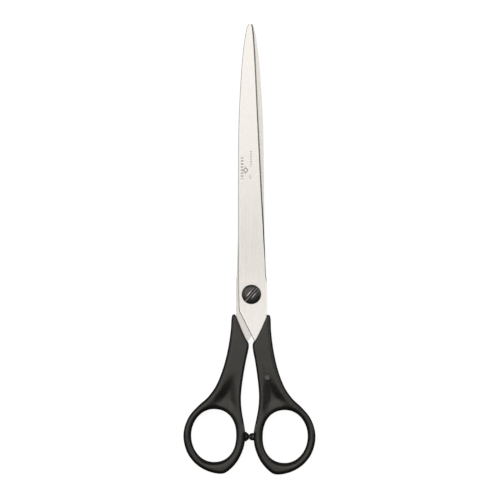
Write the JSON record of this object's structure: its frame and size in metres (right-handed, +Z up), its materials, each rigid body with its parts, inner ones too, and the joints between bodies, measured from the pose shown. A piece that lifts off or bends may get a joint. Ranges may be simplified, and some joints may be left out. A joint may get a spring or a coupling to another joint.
{
  "type": "fabric shears",
  "caption": "Long straight fabric shears with steel blades, moulded black finger-ring handles, a slotted pivot screw and stop buffers.",
  "frame": {"origin": "on the pivot's axis, at the flat underside of the pivot nut, which rests on the table", "axes": "+Y from the pivot to the blades' tips, +Z up through the pivot screw's head, +X to the right with the screw's head towards the viewer"},
  "size_m": [0.0744, 0.2534, 0.0099],
  "materials": {
    "stainless_steel": "fine brushed",
    "black_plastic": "fine matte",
    "black_rubber": "matte",
    "black_oxide_steel": "satin black oxide"
  },
  "bodies": {
    "back_half": {"back_blade": "stainless_steel", "left_handle": "black_plastic", "left_stop": "black_rubber", "pivot_nut": "stainless_steel"},
    "front_half": {"front_blade": "stainless_steel", "right_handle": "black_plastic", "right_stop": "black_rubber"},
    "screw": {"pivot_screw": "black_oxide_steel", "pivot_washer": "stainless_steel"}
  },
  "joints": [
    {"name": "blade_pivot", "type": "hinge", "parent": "back_half", "child": "front_half", "pos_m": [0, 0, 0.0045], "axis": [0, 0, 1], "range_deg": [0, 108]},
    {"name": "tension_screw", "type": "hinge", "parent": "back_half", "child": "screw", "pos_m": [0, 0, 0.0045], "axis": [0, 0, 1], "range_deg": [-90, 90]}
  ]
}
